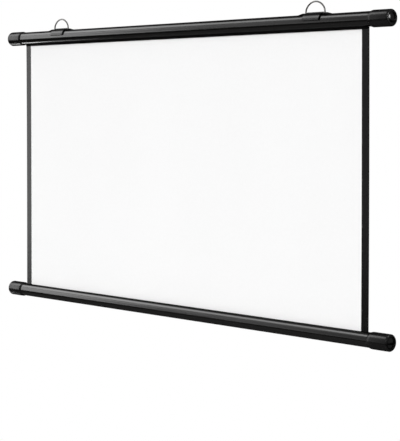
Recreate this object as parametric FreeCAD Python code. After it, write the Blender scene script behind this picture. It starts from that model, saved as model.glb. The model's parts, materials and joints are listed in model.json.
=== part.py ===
import FreeCAD, Part
import math
import os

os.makedirs("parts", exist_ok=True)

V = FreeCAD.Vector

# Portable projection screen: a spring roller in a slotted top case, a white sheet
# with black side borders, and a bottom tube of the same section that hangs on it.
# Millimetres. X runs along the tubes, +X to the viewer's right. -Y faces the viewer.
# Z is up. The origin is under the middle of the bottom tube, at its lowest level.
# Angles in a cross-section start at the front (-Y) and turn up over the top.

# Picture and sheet
view_width = 1107.0
view_height = 622.7
border_width = 19.5
sheet_thick = 0.4
sheet_hidden_top = 2.0

# Tubes and their end caps
tube_od = 32.0
tube_wall = 1.3
cap_step = 2.0
cap_length = 53.0
cap_end_wall = 4.0
cap_edge_round = 4.0
cap_mouth_lip = 0.35
cap_mouth_taper = 6.0
cap_rim_width = 1.6
cap_groove_width = 2.2
cap_dish_depth = 2.2
cap_boss_crown = 2.1

# Clearances
push_fit = 0.05
running_fit = 0.05
ring_fit = 0.1
body_gap = 0.3
tube_stop_gap = 0.4
cut_over = 1.0

# Slot guide under the case
case_slot_width = 6.0
guide_drop = 4.4
guide_throat = 1.2
guide_foot_reach = 2.6
guide_foot_thick = 1.3
guide_edge_round = 0.6
guide_end_inset = 2.5

# Hanger clips and their D-rings
hanger_inset = 205.5
clip_thick = 3.2
clip_band_gap = 1.3
clip_saddle_end = 13.7
clip_ramp_length = 10.0
clip_ramp_edge = 0.9
clip_front_angle = 8.0
clip_rear_angle = 215.0
clip_saddle_front_angle = 58.0
clip_notch_rear_angle = 128.0
clip_notch_play = 0.8
clip_rib_wall = 0.8
ring_wire = 3.5
ring_half_width = 26.75
ring_bow_rise = 23.0
ring_haunch_radius = 19.0
ring_corner_radius = 2.2
ring_bar_lift = 0.5

# Roller and the sheet on it
roller_od = 16.0
roller_wall = 1.0
roller_margin = 27.0
safety_turns = 3
lead_bend_rise = 1.7
plug_length = 18.0
plug_flange_thick = 3.0
plug_flange_step = 0.4

# Brackets in the case ends
bracket_length = 14.0
bracket_key_play = 0.1
bracket_key_rise = 0.3

# Spindle, ratchet and pawls at the left end
spindle_od = 5.0
tang_thick = 3.0
tang_length = 12.0
ratchet_width = 5.0
ratchet_gap = 1.0
ratchet_bracket_gap = 5.5
ratchet_tooth_depth = 0.6
pawl_pivot_inset = 1.2
pawl_pin_od = 2.0
pawl_hub_radius = 2.0
pawl_hub_gap = 0.7
pawl_tip_gap = 0.2
pawl_width = 1.2
pawl_thick = 3.0
pawl_rest_angle = 50.0
pawl_clearance = 0.2
pawl_pin_over = 1.4

# Torsion spring inside the roller
spring_wire = 1.2
spring_side_gap = 1.4
spring_turns = 36
spring_pitch = 4.2
spring_start = 34.0
boss_hub_length = 8.0
boss_flange_thick = 2.0
boss_flange_gap = 0.8
anchor_length = 14.0
anchor_nose_length = 5.0

# Idler at the right end
idler_stub_od = 6.0
bush_wall = 1.2
bush_length = 10.0

# Hem of the sheet inside the bottom tube
bar_slot_width = 4.0
hem_rod_od = 8.0
hem_rod_short = 3.0
hem_tail_rise = 0.25

# Lengths along X, from the picture outwards
sheet_half = view_width / 2 + border_width
roller_half = sheet_half + roller_margin
works_length = plug_flange_thick + ratchet_gap + ratchet_width + ratchet_bracket_gap
tube_half = roller_half + works_length + bracket_length
half_length = tube_half + cap_end_wall
hanger_centre = half_length - hanger_inset

# Levels and shared places
tube_r = tube_od / 2
bore_r = tube_r - tube_wall
cap_r = tube_r + cap_step
bar_z = cap_r
bar_top_z = bar_z + tube_r
guide_bottom_z = bar_top_z + view_height
case_z = guide_bottom_z + guide_drop + tube_r
case_top_z = case_z + tube_r
sheet_top_z = guide_bottom_z + sheet_hidden_top
closed_spacing = 2 * tube_r + guide_drop + tube_stop_gap
travel = case_z - bar_z - closed_spacing

hem_r = hem_rod_od / 2
pocket_in = hem_r + push_fit
pocket_out = pocket_in + sheet_thick
slot_half = bar_slot_width / 2
hem_drop = math.sqrt(pocket_out ** 2 - slot_half ** 2)
hem_z = bar_z + math.sqrt(bore_r ** 2 - slot_half ** 2) - hem_drop - push_fit
hem_tail_z = hem_z + pocket_out + hem_tail_rise
sheet_bottom_z = hem_tail_z + body_gap

roller_r = roller_od / 2
roller_bore = roller_r - roller_wall
plug_flange_radius = roller_r + plug_flange_step
roll_r = roller_r + safety_turns * sheet_thick
full_roll_r = math.sqrt(roll_r ** 2 + travel * sheet_thick / math.pi)
roller_turns = (full_roll_r - roll_r) / sheet_thick


def section_point(x, radius, angle_deg, z):
    """Point at a radius and angle of the cross-section about an axis at height z."""
    angle = math.radians(angle_deg)
    return V(x, -radius * math.cos(angle), z + radius * math.sin(angle))


def rod(x0, x1, radius, z):
    """Round bar along X."""
    return Part.makeCylinder(radius, x1 - x0, V(x0, 0, z), V(1, 0, 0))


def pipe(x0, x1, outer, inner, z):
    """Round tube along X."""
    bore = rod(x0 - cut_over, x1 + cut_over, inner, z)
    return rod(x0, x1, outer, z).cut(bore)


def block(x0, x1, y0, y1, z0, z1):
    """Box between two corners."""
    return Part.makeBox(x1 - x0, y1 - y0, z1 - z0, V(x0, y0, z0))


def prism(x0, x1, points):
    """Polygon of (y, z) points carried along X."""
    corners = [V(x0, y, z) for y, z in points]
    face = Part.Face(Part.makePolygon(corners + corners[:1]))
    return face.extrude(V(x1 - x0, 0, 0))


def sector(x0, x1, inner, outer, start, stop, z):
    """Part of a tube wall between two angles of the cross-section."""
    middle = (start + stop) / 2
    a = section_point(x0, inner, start, z)
    b = section_point(x0, outer, start, z)
    c = section_point(x0, outer, stop, z)
    d = section_point(x0, inner, stop, z)
    outside = Part.Arc(b, section_point(x0, outer, middle, z), c).toShape()
    inside = Part.Arc(d, section_point(x0, inner, middle, z), a).toShape()
    edges = [Part.LineSegment(a, b).toShape(), outside, Part.LineSegment(c, d).toShape(), inside]
    return Part.Face(Part.Wire(edges)).extrude(V(x1 - x0, 0, 0))


def turned(edges, z, start=0, sweep=360):
    """Profile drawn in the plane above the axis at height z, turned about that axis."""
    face = Part.Face(Part.Wire(edges))
    if start:
        face.rotate(V(0, 0, z), V(1, 0, 0), start)
    return face.revolve(V(0, 0, z), V(1, 0, 0), sweep)


def outline(points):
    """Straight edges through a closed list of points."""
    return [Part.LineSegment(p, q).toShape() for p, q in zip(points, points[1:] + points[:1])]


def mirrored(shape):
    """The same piece for the other end of the screen."""
    return shape.mirror(V(0, 0, 0), V(1, 0, 0))


def save(shape, name):
    """Write one piece as its own file and say how big it is."""
    if shape.ShapeType == "Compound" and len(shape.Solids) == 1:
        shape = shape.Solids[0]
    print(name, "solids", len(shape.Solids), "valid", shape.isValid(), "volume", round(shape.Volume, 2))
    shape.exportStep("parts/" + name + ".step")


# Tubes: one section, slotted below for the case and above for the bottom tube
def slotted_tube(z, slot_width, slot_up):
    tube = pipe(-tube_half, tube_half, tube_r, bore_r, z)
    side = 1 if slot_up else -1
    z0, z1 = sorted((z, z + side * (tube_r + cut_over)))
    cut_half = tube_half + cut_over
    return tube.cut(block(-cut_half, cut_half, -slot_width / 2, slot_width / 2, z0, z1))


top_case = slotted_tube(case_z, case_slot_width, False)
bottom_tube = slotted_tube(bar_z, bar_slot_width, True)
save(top_case, "top_case")
save(bottom_tube, "bottom_tube")


# End caps: a sleeve over the tube, tapered at its mouth, with a round-edged end
# that has a domed boss in a ring groove
def end_cap(z):
    sleeve_r = tube_r + push_fit
    mouth = half_length - cap_length
    floor = half_length - cap_dish_depth
    edge_start = half_length - cap_edge_round
    edge_top = cap_r - cap_edge_round
    dish_r = edge_top - cap_rim_width
    boss_r = dish_r - cap_groove_width
    bend = math.sqrt(0.5) * cap_edge_round

    def at(x, r):
        return V(x, 0, z + r)

    crown = at(floor + cap_boss_crown, 0)
    boss_foot = at(floor, boss_r)
    ball_r = (boss_r ** 2 + cap_boss_crown ** 2) / (2 * cap_boss_crown)
    half_turn = math.asin(boss_r / ball_r) / 2
    boss_mid = at(floor + cap_boss_crown - ball_r * (1 - math.cos(half_turn)), ball_r * math.sin(half_turn))
    straight = [
        at(tube_half, 0),
        at(tube_half, sleeve_r),
        at(mouth, sleeve_r),
        at(mouth, sleeve_r + cap_mouth_lip),
        at(mouth + cap_mouth_taper, cap_r),
        at(edge_start, cap_r),
    ]
    edges = [Part.LineSegment(p, q).toShape() for p, q in zip(straight, straight[1:])]
    edge_mid = at(edge_start + bend, edge_top + bend)
    edges.append(Part.Arc(straight[-1], edge_mid, at(half_length, edge_top)).toShape())
    dish = [at(half_length, edge_top), at(half_length, dish_r), at(floor, dish_r), boss_foot]
    edges += [Part.LineSegment(p, q).toShape() for p, q in zip(dish, dish[1:])]
    edges.append(Part.Arc(boss_foot, boss_mid, crown).toShape())
    edges.append(Part.LineSegment(crown, straight[0]).toShape())
    return turned(edges, z)


top_cap_right = end_cap(case_z)
bottom_cap_right = end_cap(bar_z)
save(top_cap_right, "top_cap_right")
save(mirrored(top_cap_right), "top_cap_left")
save(bottom_cap_right, "bottom_cap_right")
save(mirrored(bottom_cap_right), "bottom_cap_left")


# Slot guide: two strips that clip into the case slot, with the sheet between them
def guide_lip(side):
    half = sheet_half - guide_end_inset
    near = guide_throat / 2
    far = case_slot_width / 2 - push_fit
    foot_top = bore_r - guide_foot_thick
    low, high = sorted((side * near, side * far))
    stem = block(-half, half, low, high, guide_bottom_z, case_z - foot_top)
    low_edges = [e for e in stem.Edges if e.BoundBox.ZMax < guide_bottom_z + cut_over]
    corners = [e for e in low_edges if e.BoundBox.XLength > cut_over]
    stem = stem.makeFillet(guide_edge_round, corners)
    wall = pipe(-half, half, bore_r - push_fit, foot_top, case_z)
    low, high = sorted((side * near, side * (far + guide_foot_reach)))
    foot = wall.common(block(-half, half, low, high, case_z - tube_r, case_z))
    return stem.fuse(foot).removeSplitter()


save(guide_lip(-1), "guide_lip_front")
save(guide_lip(1), "guide_lip_rear")


# Hanger clip: a saddle on the case with a band down the front; the ring's bar lies
# in a groove under the band, and two notches let the ring's bow swing down
ring_axis_z = case_top_z + ring_bar_lift + ring_wire / 2
ring_bar_half = ring_half_width - ring_corner_radius
notch_end = ring_half_width + ring_wire / 2 + clip_notch_play


def hanger_clip():
    inner = tube_r + push_fit
    outer = tube_r + clip_thick
    band_half = ring_bar_half - clip_band_gap
    saddle_half = notch_end + clip_saddle_end
    ramp_start = saddle_half - clip_ramp_length
    profile = [
        V(-saddle_half, 0, inner),
        V(-saddle_half, 0, inner + clip_ramp_edge),
        V(-ramp_start, 0, outer),
        V(ramp_start, 0, outer),
        V(saddle_half, 0, inner + clip_ramp_edge),
        V(saddle_half, 0, inner),
    ]
    saddle_sweep = clip_rear_angle - clip_saddle_front_angle
    quarter = 90
    saddle = turned(outline(profile), 0, quarter - clip_saddle_front_angle, -saddle_sweep)
    band = sector(-band_half, band_half, inner, outer, clip_front_angle, clip_rear_angle, 0)
    notch_in = inner - cut_over
    notch_out = outer + cut_over
    notch_start = clip_saddle_front_angle - math.degrees(cut_over / inner)
    notch = sector(band_half, notch_end, notch_in, notch_out, notch_start, clip_notch_rear_angle, 0)
    saddle = saddle.cut(notch.fuse(mirrored(notch)))
    bar_level = ring_axis_z - case_z
    groove_r = ring_wire / 2 + ring_fit
    rib = rod(-band_half, band_half, groove_r + clip_rib_wall, bar_level)
    clip = band.fuse([saddle, rib])
    groove = rod(-notch_end, notch_end, groove_r, bar_level)
    mouth = block(-notch_end, notch_end, -groove_r, groove_r, 0, bar_level)
    clip = clip.cut(groove.fuse([mouth, rod(-saddle_half, saddle_half, inner, 0)]))
    clip = clip.removeSplitter()
    clip.translate(V(0, 0, case_z))
    return clip


def d_ring():
    """Bent wire: a straight bar, two small corners, two haunches and a flatter crown."""
    bar = ring_bar_half
    corner = ring_corner_radius
    haunch = ring_haunch_radius
    bend = corner * math.sqrt(0.5)
    z = ring_axis_z
    foot = z + corner
    inset = ring_half_width - haunch
    crown = (inset ** 2 + ring_bow_rise ** 2 - haunch ** 2) / (2 * (ring_bow_rise - haunch))
    lean = math.atan2(crown - ring_bow_rise, inset)

    def on_haunch(side, angle):
        return V(side * (inset + haunch * math.cos(angle)), 0, foot + haunch * math.sin(angle))

    low_right = V(bar, 0, z)
    low_left = V(-bar, 0, z)
    top = V(0, 0, foot + ring_bow_rise)
    path = Part.Wire([
        Part.LineSegment(V(0, 0, z), low_right).toShape(),
        Part.Arc(low_right, V(bar + bend, 0, foot - bend), on_haunch(1, 0)).toShape(),
        Part.Arc(on_haunch(1, 0), on_haunch(1, lean / 2), on_haunch(1, lean)).toShape(),
        Part.Arc(on_haunch(1, lean), top, on_haunch(-1, lean)).toShape(),
        Part.Arc(on_haunch(-1, lean), on_haunch(-1, lean / 2), on_haunch(-1, 0)).toShape(),
        Part.Arc(on_haunch(-1, 0), V(-bar - bend, 0, foot - bend), low_left).toShape(),
        Part.LineSegment(low_left, V(0, 0, z)).toShape(),
    ])
    start = Part.Wire(Part.makeCircle(ring_wire / 2, V(0, 0, z), V(1, 0, 0)))
    return path.makePipeShell([start], True, False)


for side_name, place in (("left", -hanger_centre), ("right", hanger_centre)):
    for piece_name, piece in (("hanger_clip_", hanger_clip()), ("d_ring_", d_ring())):
        piece.translate(V(place, 0, 0))
        save(piece, piece_name + side_name)


# Brackets: plugs in the case ends, keyed into its slot, that carry the roller
def bracket(hole):
    plug = rod(tube_half - bracket_length, tube_half, bore_r - push_fit, case_z)
    key_half = case_slot_width / 2 - bracket_key_play
    key_low = case_z - tube_r + bracket_key_rise
    key = block(tube_half - bracket_length, tube_half, -key_half, key_half, key_low, case_z - bore_r / 2)
    return plug.fuse(key).cut(hole).removeSplitter()


spindle_r = spindle_od / 2
tang_out = tube_half - bracket_length + tang_length
tang_half = tang_thick / 2
blade = block(tube_half - bracket_length - cut_over, tube_half + cut_over,
              -tang_half - running_fit, tang_half + running_fit,
              case_z - spindle_r - running_fit, case_z + spindle_r + running_fit)
save(mirrored(bracket(blade)), "spindle_bracket")

stub_r = idler_stub_od / 2
bush_r = stub_r + running_fit + bush_wall
bush_in = tube_half - bracket_length
idler_hole = rod(bush_in - cut_over, tube_half + cut_over, bush_r + push_fit, case_z)
save(bracket(idler_hole), "idler_bracket")
save(pipe(bush_in, bush_in + bush_length, bush_r, stub_r + running_fit, case_z), "idler_bush")

# Roller tube with the turns of sheet that stay on it
save(pipe(-roller_half, roller_half, roller_r, roller_bore, case_z), "roller_tube")
save(pipe(-sheet_half, sheet_half, roll_r, roller_r, case_z), "sheet_roll")

# Roller head with its two pawls, which lock on the ratchet of the fixed spindle
head_out = -roller_half - plug_flange_thick
ratchet_right = head_out - ratchet_gap
ratchet_left = ratchet_right - ratchet_width
pawl_right = ratchet_right - (ratchet_width - pawl_thick) / 2
pawl_left = pawl_right - pawl_thick
pin_r = pawl_pin_od / 2
pivot_r = plug_flange_radius - pawl_pivot_inset
pivot = V(0, 0, case_z + pivot_r)
pawl_length = pivot_r - pawl_tip_gap
ratchet_radius = pivot_r - pawl_hub_radius - pawl_hub_gap
bite_r = ratchet_radius - ratchet_tooth_depth
bite_cos = (pivot_r ** 2 + pawl_length ** 2 - bite_r ** 2) / (2 * pivot_r * pawl_length)
pawl_bite_angle = math.degrees(math.acos(bite_cos))
pawl_travel = pawl_rest_angle - pawl_bite_angle
half_turn_deg = 180


def about_roller(shape):
    """The same piece, half a turn further round the roller."""
    other = shape.copy()
    other.rotate(V(0, 0, case_z), V(1, 0, 0), half_turn_deg)
    return other


def lever(angle, width, reach, back):
    """Bar from the pawl's pivot, inwards and to the front, at an angle from straight down."""
    low = pivot.z - reach
    bar = block(pawl_left, pawl_right, -width / 2, width / 2, low, pivot.z + back)
    bar.rotate(pivot, V(1, 0, 0), -angle)
    return bar


def pawl():
    hub = rod(pawl_left, pawl_right, pawl_hub_radius, pivot.z)
    body = hub.fuse(lever(pawl_rest_angle, pawl_width, pawl_length, 0)).removeSplitter()
    return body.cut(rod(pawl_left - cut_over, pawl_right + cut_over, pin_r + running_fit, pivot.z))


def ratchet():
    wheel = pipe(ratchet_left, ratchet_right, ratchet_radius, spindle_r, case_z)
    wide = pawl_width + 2 * pawl_clearance
    bite = lever(pawl_bite_angle, wide, pawl_length + pawl_clearance, 0)
    bite = bite.fuse(lever(pawl_bite_angle + pawl_travel / 2, wide, pawl_length + pawl_clearance, 0))
    bite.translate(V(-(ratchet_width - pawl_thick) / 2, 0, 0))
    long_bite = bite.fuse(bite.translated(V(ratchet_width - pawl_thick, 0, 0)))
    return wheel.cut(long_bite.fuse(about_roller(long_bite)))


def roller_head():
    body = rod(-roller_half, -roller_half + plug_length, roller_bore - push_fit, case_z)
    body = body.fuse(rod(head_out, -roller_half, plug_flange_radius, case_z))
    bore_end = plug_length - roller_half + cut_over
    body = body.cut(rod(head_out - cut_over, bore_end, spindle_r + running_fit, case_z))
    pin_hole = rod(head_out - cut_over, -roller_half, pin_r + push_fit, pivot.z)
    return body.cut(pin_hole.fuse(about_roller(pin_hole))).removeSplitter()


save(roller_head(), "roller_head")
save(ratchet(), "ratchet_wheel")
save(pawl(), "pawl_upper")
save(about_roller(pawl()), "pawl_lower")
pawl_pin = rod(pawl_left - pawl_pin_over, -roller_half, pin_r, pivot.z)
save(Part.makeCompound([pawl_pin, about_roller(pawl_pin)]), "pawl_pins")

# Torsion spring between the spring boss on the spindle and the anchor in the roller
spring_mean_radius = roller_bore - spring_wire / 2 - spring_side_gap
boss_left = -roller_half + spring_start
coil_left = boss_left + boss_flange_thick + spring_wire / 2 + push_fit
coil_right = coil_left + spring_turns * spring_pitch
anchor_face = coil_right + spring_wire / 2 + body_gap
nose_r = spring_mean_radius - spring_wire / 2 - body_gap
spindle_end = anchor_face + anchor_length - cut_over
hub_r = spring_mean_radius - spring_wire / 2 - ring_fit


def spindle():
    shank = rod(-tube_half + bracket_length, spindle_end, spindle_r, case_z)
    tang_blank = rod(-tang_out, -tube_half + bracket_length, spindle_r, case_z)
    flats = block(-tang_out, -tube_half + bracket_length, -tang_half, tang_half,
                  case_z - spindle_r, case_z + spindle_r)
    return shank.fuse(tang_blank.common(flats)).removeSplitter()


def spring_boss():
    flange_r = roller_bore - boss_flange_gap
    body = rod(boss_left, boss_left + boss_flange_thick, flange_r, case_z)
    hub_end = boss_left + boss_flange_thick + boss_hub_length
    body = body.fuse(rod(boss_left, hub_end, hub_r, case_z))
    return body.cut(rod(boss_left - cut_over, hub_end + cut_over, spindle_r, case_z)).removeSplitter()


def spring_anchor():
    body = rod(anchor_face, anchor_face + anchor_length, roller_bore - push_fit, case_z)
    body = body.fuse(rod(anchor_face - anchor_nose_length, anchor_face, nose_r, case_z))
    bore = rod(anchor_face - anchor_nose_length - cut_over, anchor_face + anchor_length + cut_over,
               spindle_r + running_fit, case_z)
    return body.cut(bore).removeSplitter()


def helix_point(turn):
    """Point and direction of the spring's centre line after a number of turns."""
    angle = 2 * math.pi * turn
    side = V(0, math.cos(angle), math.sin(angle))
    point = V(coil_left + spring_pitch * turn, 0, case_z) + side * spring_mean_radius
    climb = spring_pitch / (2 * math.pi)
    direction = V(climb, -spring_mean_radius * math.sin(angle), spring_mean_radius * math.cos(angle))
    return point, direction.normalize()


def arc_from(start, corner, stop):
    """Arc from start to stop that touches both legs of an even-sided corner."""
    middle = (start + stop) / 2
    half_chord = (stop - start).Length / 2
    rise = (corner - middle).Length
    bulge = half_chord * math.tan(math.atan2(rise, half_chord) / 2)
    return Part.Arc(start, middle + (corner - middle) * (bulge / rise), stop).toShape()


def biarc(p, t, q, u):
    """Two arcs from p, leaving along t, to q, arriving along u."""
    chord = q - p
    total = t + u
    a = total.dot(total) - 4
    b = -2 * chord.dot(total)
    c = chord.dot(chord)
    leg = (-b - math.sqrt(b * b - 4 * a * c)) / (2 * a)
    first = p + t * leg
    second = q - u * leg
    joint = (first + second) / 2
    return [arc_from(p, first, joint), arc_from(joint, second, q)]


def torsion_spring():
    steps = 2 * spring_turns
    places = [helix_point(step / 2) for step in range(steps + 1)]
    edges = []
    first, first_way = places[0]
    last, last_way = places[-1]
    edges.append(Part.LineSegment(first - first_way * spring_wire, first).toShape())
    for (p, t), (q, u) in zip(places, places[1:]):
        edges += biarc(p, t, q, u)
    edges.append(Part.LineSegment(last, last + last_way * spring_wire).toShape())
    section = Part.Wire(Part.makeCircle(spring_wire / 2, first - first_way * spring_wire, first_way))
    arc_steps = 8
    arcs_per_turn = 4
    samples = [point for edge in edges[1:-1] for point in edge.discretize(arc_steps + 1)[:-1]]
    next_turn = samples[arc_steps * arcs_per_turn:]
    gap = min((a - b).Length for a, b in zip(samples, next_turn)) - spring_wire
    print("least gap between the spring's turns", round(gap, 3))
    return Part.Wire(edges).makePipeShell([section], True, False)


save(spindle(), "spindle")
save(spring_boss(), "spring_boss")
save(spring_anchor(), "spring_anchor")
save(torsion_spring(), "torsion_spring")


# Idler plug: closes the roller's right end and turns on its stub in the bush
def idler_plug():
    body = rod(roller_half - plug_length, roller_half, roller_bore - push_fit, case_z)
    body = body.fuse(rod(roller_half, roller_half + plug_flange_thick, plug_flange_radius, case_z))
    stub_end = bush_in + bush_length
    return body.fuse(rod(roller_half, stub_end, stub_r, case_z)).removeSplitter()


save(idler_plug(), "idler_plug")


# Sheet: the lead inside the case, then the white sheet and its borders, which
# are one cloth in three colours side by side
def sheet_lead():
    half = sheet_thick / 2
    path_r = roll_r + body_gap + half
    bend_drop = bore_r - lead_bend_rise
    swing = math.acos(path_r / bend_drop)
    y = path_r * math.sin(swing)
    z = case_z - path_r * math.cos(swing)
    bend_z = case_z - bend_drop
    slope = math.atan2(z - bend_z, y)
    side_y = half * math.sin(slope)
    side_z = half * math.cos(slope)
    mitre = half * math.tan((math.pi / 2 - slope) / 2)
    points = [
        (y - side_y, z + side_z),
        (-half, bend_z + mitre),
        (-half, sheet_top_z),
        (half, sheet_top_z),
        (half, bend_z - mitre),
        (y + side_y, z - side_z),
    ]
    return prism(-sheet_half, sheet_half, points)


def sheet_strip(x0, x1):
    return block(x0, x1, -sheet_thick / 2, sheet_thick / 2, sheet_bottom_z, sheet_top_z)


save(sheet_lead(), "sheet_lead")
save(sheet_strip(-view_width / 2, view_width / 2), "white_screen")
save(sheet_strip(-sheet_half, -view_width / 2), "border_left")
save(sheet_strip(view_width / 2, sheet_half), "border_right")

# Hem: a loop of the sheet round a rod, too wide to leave the bottom tube's slot
hem_half = sheet_half - hem_rod_short


def hem_pocket():
    loop = pipe(-sheet_half, sheet_half, pocket_out, pocket_in, hem_z)
    tail_low = hem_z + (pocket_in + pocket_out) / 2
    tail = block(-sheet_half, sheet_half, -sheet_thick, sheet_thick, tail_low, hem_tail_z)
    return loop.fuse(tail).removeSplitter()


save(hem_pocket(), "hem_pocket")
save(rod(-hem_half, hem_half, hem_r, hem_z), "hem_rod")

print("overall length", round(2 * half_length, 3), "cap diameter", round(2 * cap_r, 3))
print("case axis level", round(case_z, 3), "case top level", round(case_top_z, 3))
print("travel of the bottom tube", round(travel, 3), "roller turns", round(roller_turns, 4))
print("full roll radius", round(full_roll_r, 3), "case bore radius", round(bore_r, 3))
print("ring axis level", round(ring_axis_z, 3), "pawl travel in degrees", round(pawl_travel, 3))
print("sheet from level", round(sheet_bottom_z, 3), "to", round(sheet_top_z, 3), "half width", sheet_half)
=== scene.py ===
# %% [markdown]
# # A portable projection screen
# The real object is a roll-up screen that travels in a bag: a round black case with a spring
# roller inside, a white sheet with two black side borders, and a round bottom tube that pulls
# the sheet straight. Two wire D-rings on top hang it on hooks.
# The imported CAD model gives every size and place. This lesson builds fine surfaces for what
# shows, mixes a finish for every piece, and lights it all like a product photograph.

import json
import math

import bmesh
import bpy
import numpy as np
from mathutils import Matrix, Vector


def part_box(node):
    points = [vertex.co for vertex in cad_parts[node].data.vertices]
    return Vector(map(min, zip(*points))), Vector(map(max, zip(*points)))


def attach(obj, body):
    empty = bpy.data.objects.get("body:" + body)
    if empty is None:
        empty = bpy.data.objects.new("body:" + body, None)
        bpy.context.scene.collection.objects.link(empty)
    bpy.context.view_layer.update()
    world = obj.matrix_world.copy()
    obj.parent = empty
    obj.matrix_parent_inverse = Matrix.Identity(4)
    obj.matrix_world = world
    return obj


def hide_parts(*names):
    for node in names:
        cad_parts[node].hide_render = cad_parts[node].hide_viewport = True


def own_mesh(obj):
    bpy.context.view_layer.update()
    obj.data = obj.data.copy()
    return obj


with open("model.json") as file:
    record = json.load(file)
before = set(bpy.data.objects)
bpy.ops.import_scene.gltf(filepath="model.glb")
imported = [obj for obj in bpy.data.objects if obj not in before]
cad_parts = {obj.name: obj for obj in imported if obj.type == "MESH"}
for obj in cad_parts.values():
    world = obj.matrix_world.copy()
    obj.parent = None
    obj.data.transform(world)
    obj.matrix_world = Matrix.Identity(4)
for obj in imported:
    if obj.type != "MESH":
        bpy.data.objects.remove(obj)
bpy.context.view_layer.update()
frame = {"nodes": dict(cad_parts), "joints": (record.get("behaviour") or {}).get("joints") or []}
print("pieces in the packed model:", len(frame["nodes"]))

# %% [markdown]
# ## Camera
# The photograph looks at the screen from its right, so that its length runs away to the left.
# A camera could be placed by eye. Here its place was worked out from where the edges of the
# tubes and borders lie in the picture, so the same edges fall on the same places again.
# It looks down by a degree and a half only. The rest is done by shifting its picture, as with
# a view camera, so that upright lines stay all but upright.

# %% Place the camera
camera_place = (2.4192, -2.2903, 0.4937)
camera_turn = 45.638
camera_dip = 1.5
camera_lens = 116.379
camera_shift = -0.1692

camera_data = bpy.data.cameras.new("photo_camera")
camera_data.lens = camera_lens
camera_data.shift_y = camera_shift
camera = bpy.data.objects.new("photo_camera", camera_data)
camera.location = camera_place
camera.rotation_euler = (math.radians(90 - camera_dip), 0, math.radians(camera_turn))
bpy.context.scene.collection.objects.link(camera)
bpy.context.scene.camera = camera
bpy.context.scene.view_settings.view_transform = "Standard"
print("camera to the middle of the screen:", round(math.hypot(*camera_place[:2]), 3), "m")

# %% [markdown]
# ## Shader maths as plain sums
# A finish is often a sum: noise times a strength, plus a base value. In the node editor each
# step is a Math node. A small class wraps a socket, so that `low + noise * 0.1` adds those
# nodes by itself. Any other node comes from one method, `node`.

# %% A socket that can be added and multiplied
class Wire:
    """One value or colour in a material's node tree."""

    def __init__(self, tree, socket):
        self.tree = tree
        self.socket = socket

    def maths(self, operation, first, second):
        """Add one Math node whose inputs are wires or plain numbers."""
        node = self.tree.nodes.new("ShaderNodeMath")
        node.operation = operation
        for entry, value in zip(node.inputs, (first, second)):
            if isinstance(value, Wire):
                self.tree.links.new(value.socket, entry)
            else:
                entry.default_value = value
        return Wire(self.tree, node.outputs[0])

    def __add__(self, other):
        return self.maths("ADD", self, other)

    def __radd__(self, other):
        return self.maths("ADD", other, self)

    def __rsub__(self, other):
        return self.maths("SUBTRACT", other, self)

    def __mul__(self, other):
        return self.maths("MULTIPLY", self, other)

    def above(self, limit):
        """1 where the value is above the limit, and 0 elsewhere."""
        return self.maths("GREATER_THAN", self, limit)

    def larger(self, other):
        """The larger of two values."""
        return self.maths("MAXIMUM", self, other)

    def size(self):
        """The value without its sign."""
        return self.maths("ABSOLUTE", self, 0.0)

    def sine(self):
        """The sine of an angle in radians."""
        return self.maths("SINE", self, 0.0)


# %% A finish: a principled shader and any node that leads to it
class Finish:
    """A material whose nodes are added by type, settings and inputs."""

    def __init__(self, name):
        self.material = bpy.data.materials.new(name)
        self.material.use_nodes = True
        self.tree = self.material.node_tree
        self.shader = self.tree.nodes["Principled BSDF"]
        print("finish:", name)

    def node(self, kind, inputs=None, output=0, **settings):
        """Add one node. Settings come first, then the values or wires of its sockets."""
        node = self.tree.nodes.new("ShaderNode" + kind)
        for name, value in settings.items():
            setattr(node, name, value)
        for name, value in (inputs or {}).items():
            self.plug(node.inputs[name], value)
        return Wire(self.tree, node.outputs[output])

    def plug(self, entry, value):
        """Link a wire to a socket, or set the socket's own value."""
        if isinstance(value, Wire):
            self.tree.links.new(value.socket, entry)
        else:
            entry.default_value = value

    def set(self, shader=None, **sockets):
        """Set or link sockets of the principled shader, spaces written as underscores."""
        for name, value in sockets.items():
            self.plug((shader or self.shader).inputs[name.replace("_", " ")], value)

    def add_gloss(self, share, roughness, normal):
        """Let an even share of the light be mirrored, whatever the angle."""
        mirror = self.tree.nodes.new("ShaderNodeBsdfPrincipled")
        self.set(mirror, Base_Color=grey(1.0), Metallic=1.0, Roughness=roughness, Normal=normal)
        mixer = self.tree.nodes.new("ShaderNodeMixShader")
        mixer.inputs[0].default_value = share
        output = self.tree.nodes["Material Output"]
        self.tree.links.new(self.shader.outputs[0], mixer.inputs[1])
        self.tree.links.new(mirror.outputs[0], mixer.inputs[2])
        self.tree.links.new(mixer.outputs[0], output.inputs["Surface"])
        return self

    def place(self):
        """Where a point lies on the object, in metres."""
        return self.node("TexCoord", output=3)

    def along(self, axis):
        """How far a point lies along X, Y or Z, which are axes 0, 1 and 2, in metres."""
        return self.node("SeparateXYZ", {"Vector": self.place()}, output=axis)

    def noise(self, stretch, detail=2.0, roughness=0.5):
        """Noise from 0 to 1. Stretch is how many patches fit in a metre along X, Y and Z."""
        vector = self.node("Mapping", {"Vector": self.place(), "Scale": stretch})
        sockets = {"Vector": vector, "Scale": 1.0, "Detail": detail, "Roughness": roughness}
        return self.node("TexNoise", sockets)

    def blend(self, share, first, second):
        """A colour between two colours."""
        sockets = {0: share, 6: first, 7: second}
        return self.node("Mix", sockets, output=2, data_type="RGBA")

    def bump(self, height, depth, strength):
        """A bumped normal. Depth is how high a full step of the height is, in metres."""
        return self.node("Bump", {"Height": height, "Distance": depth, "Strength": strength})


def grey(level, warmth=0.0):
    """A nearly neutral colour. Warmth lifts the red and lowers the blue by that share."""
    return (level * (1 + warmth), level, level * (1 - warmth), 1.0)


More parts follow.
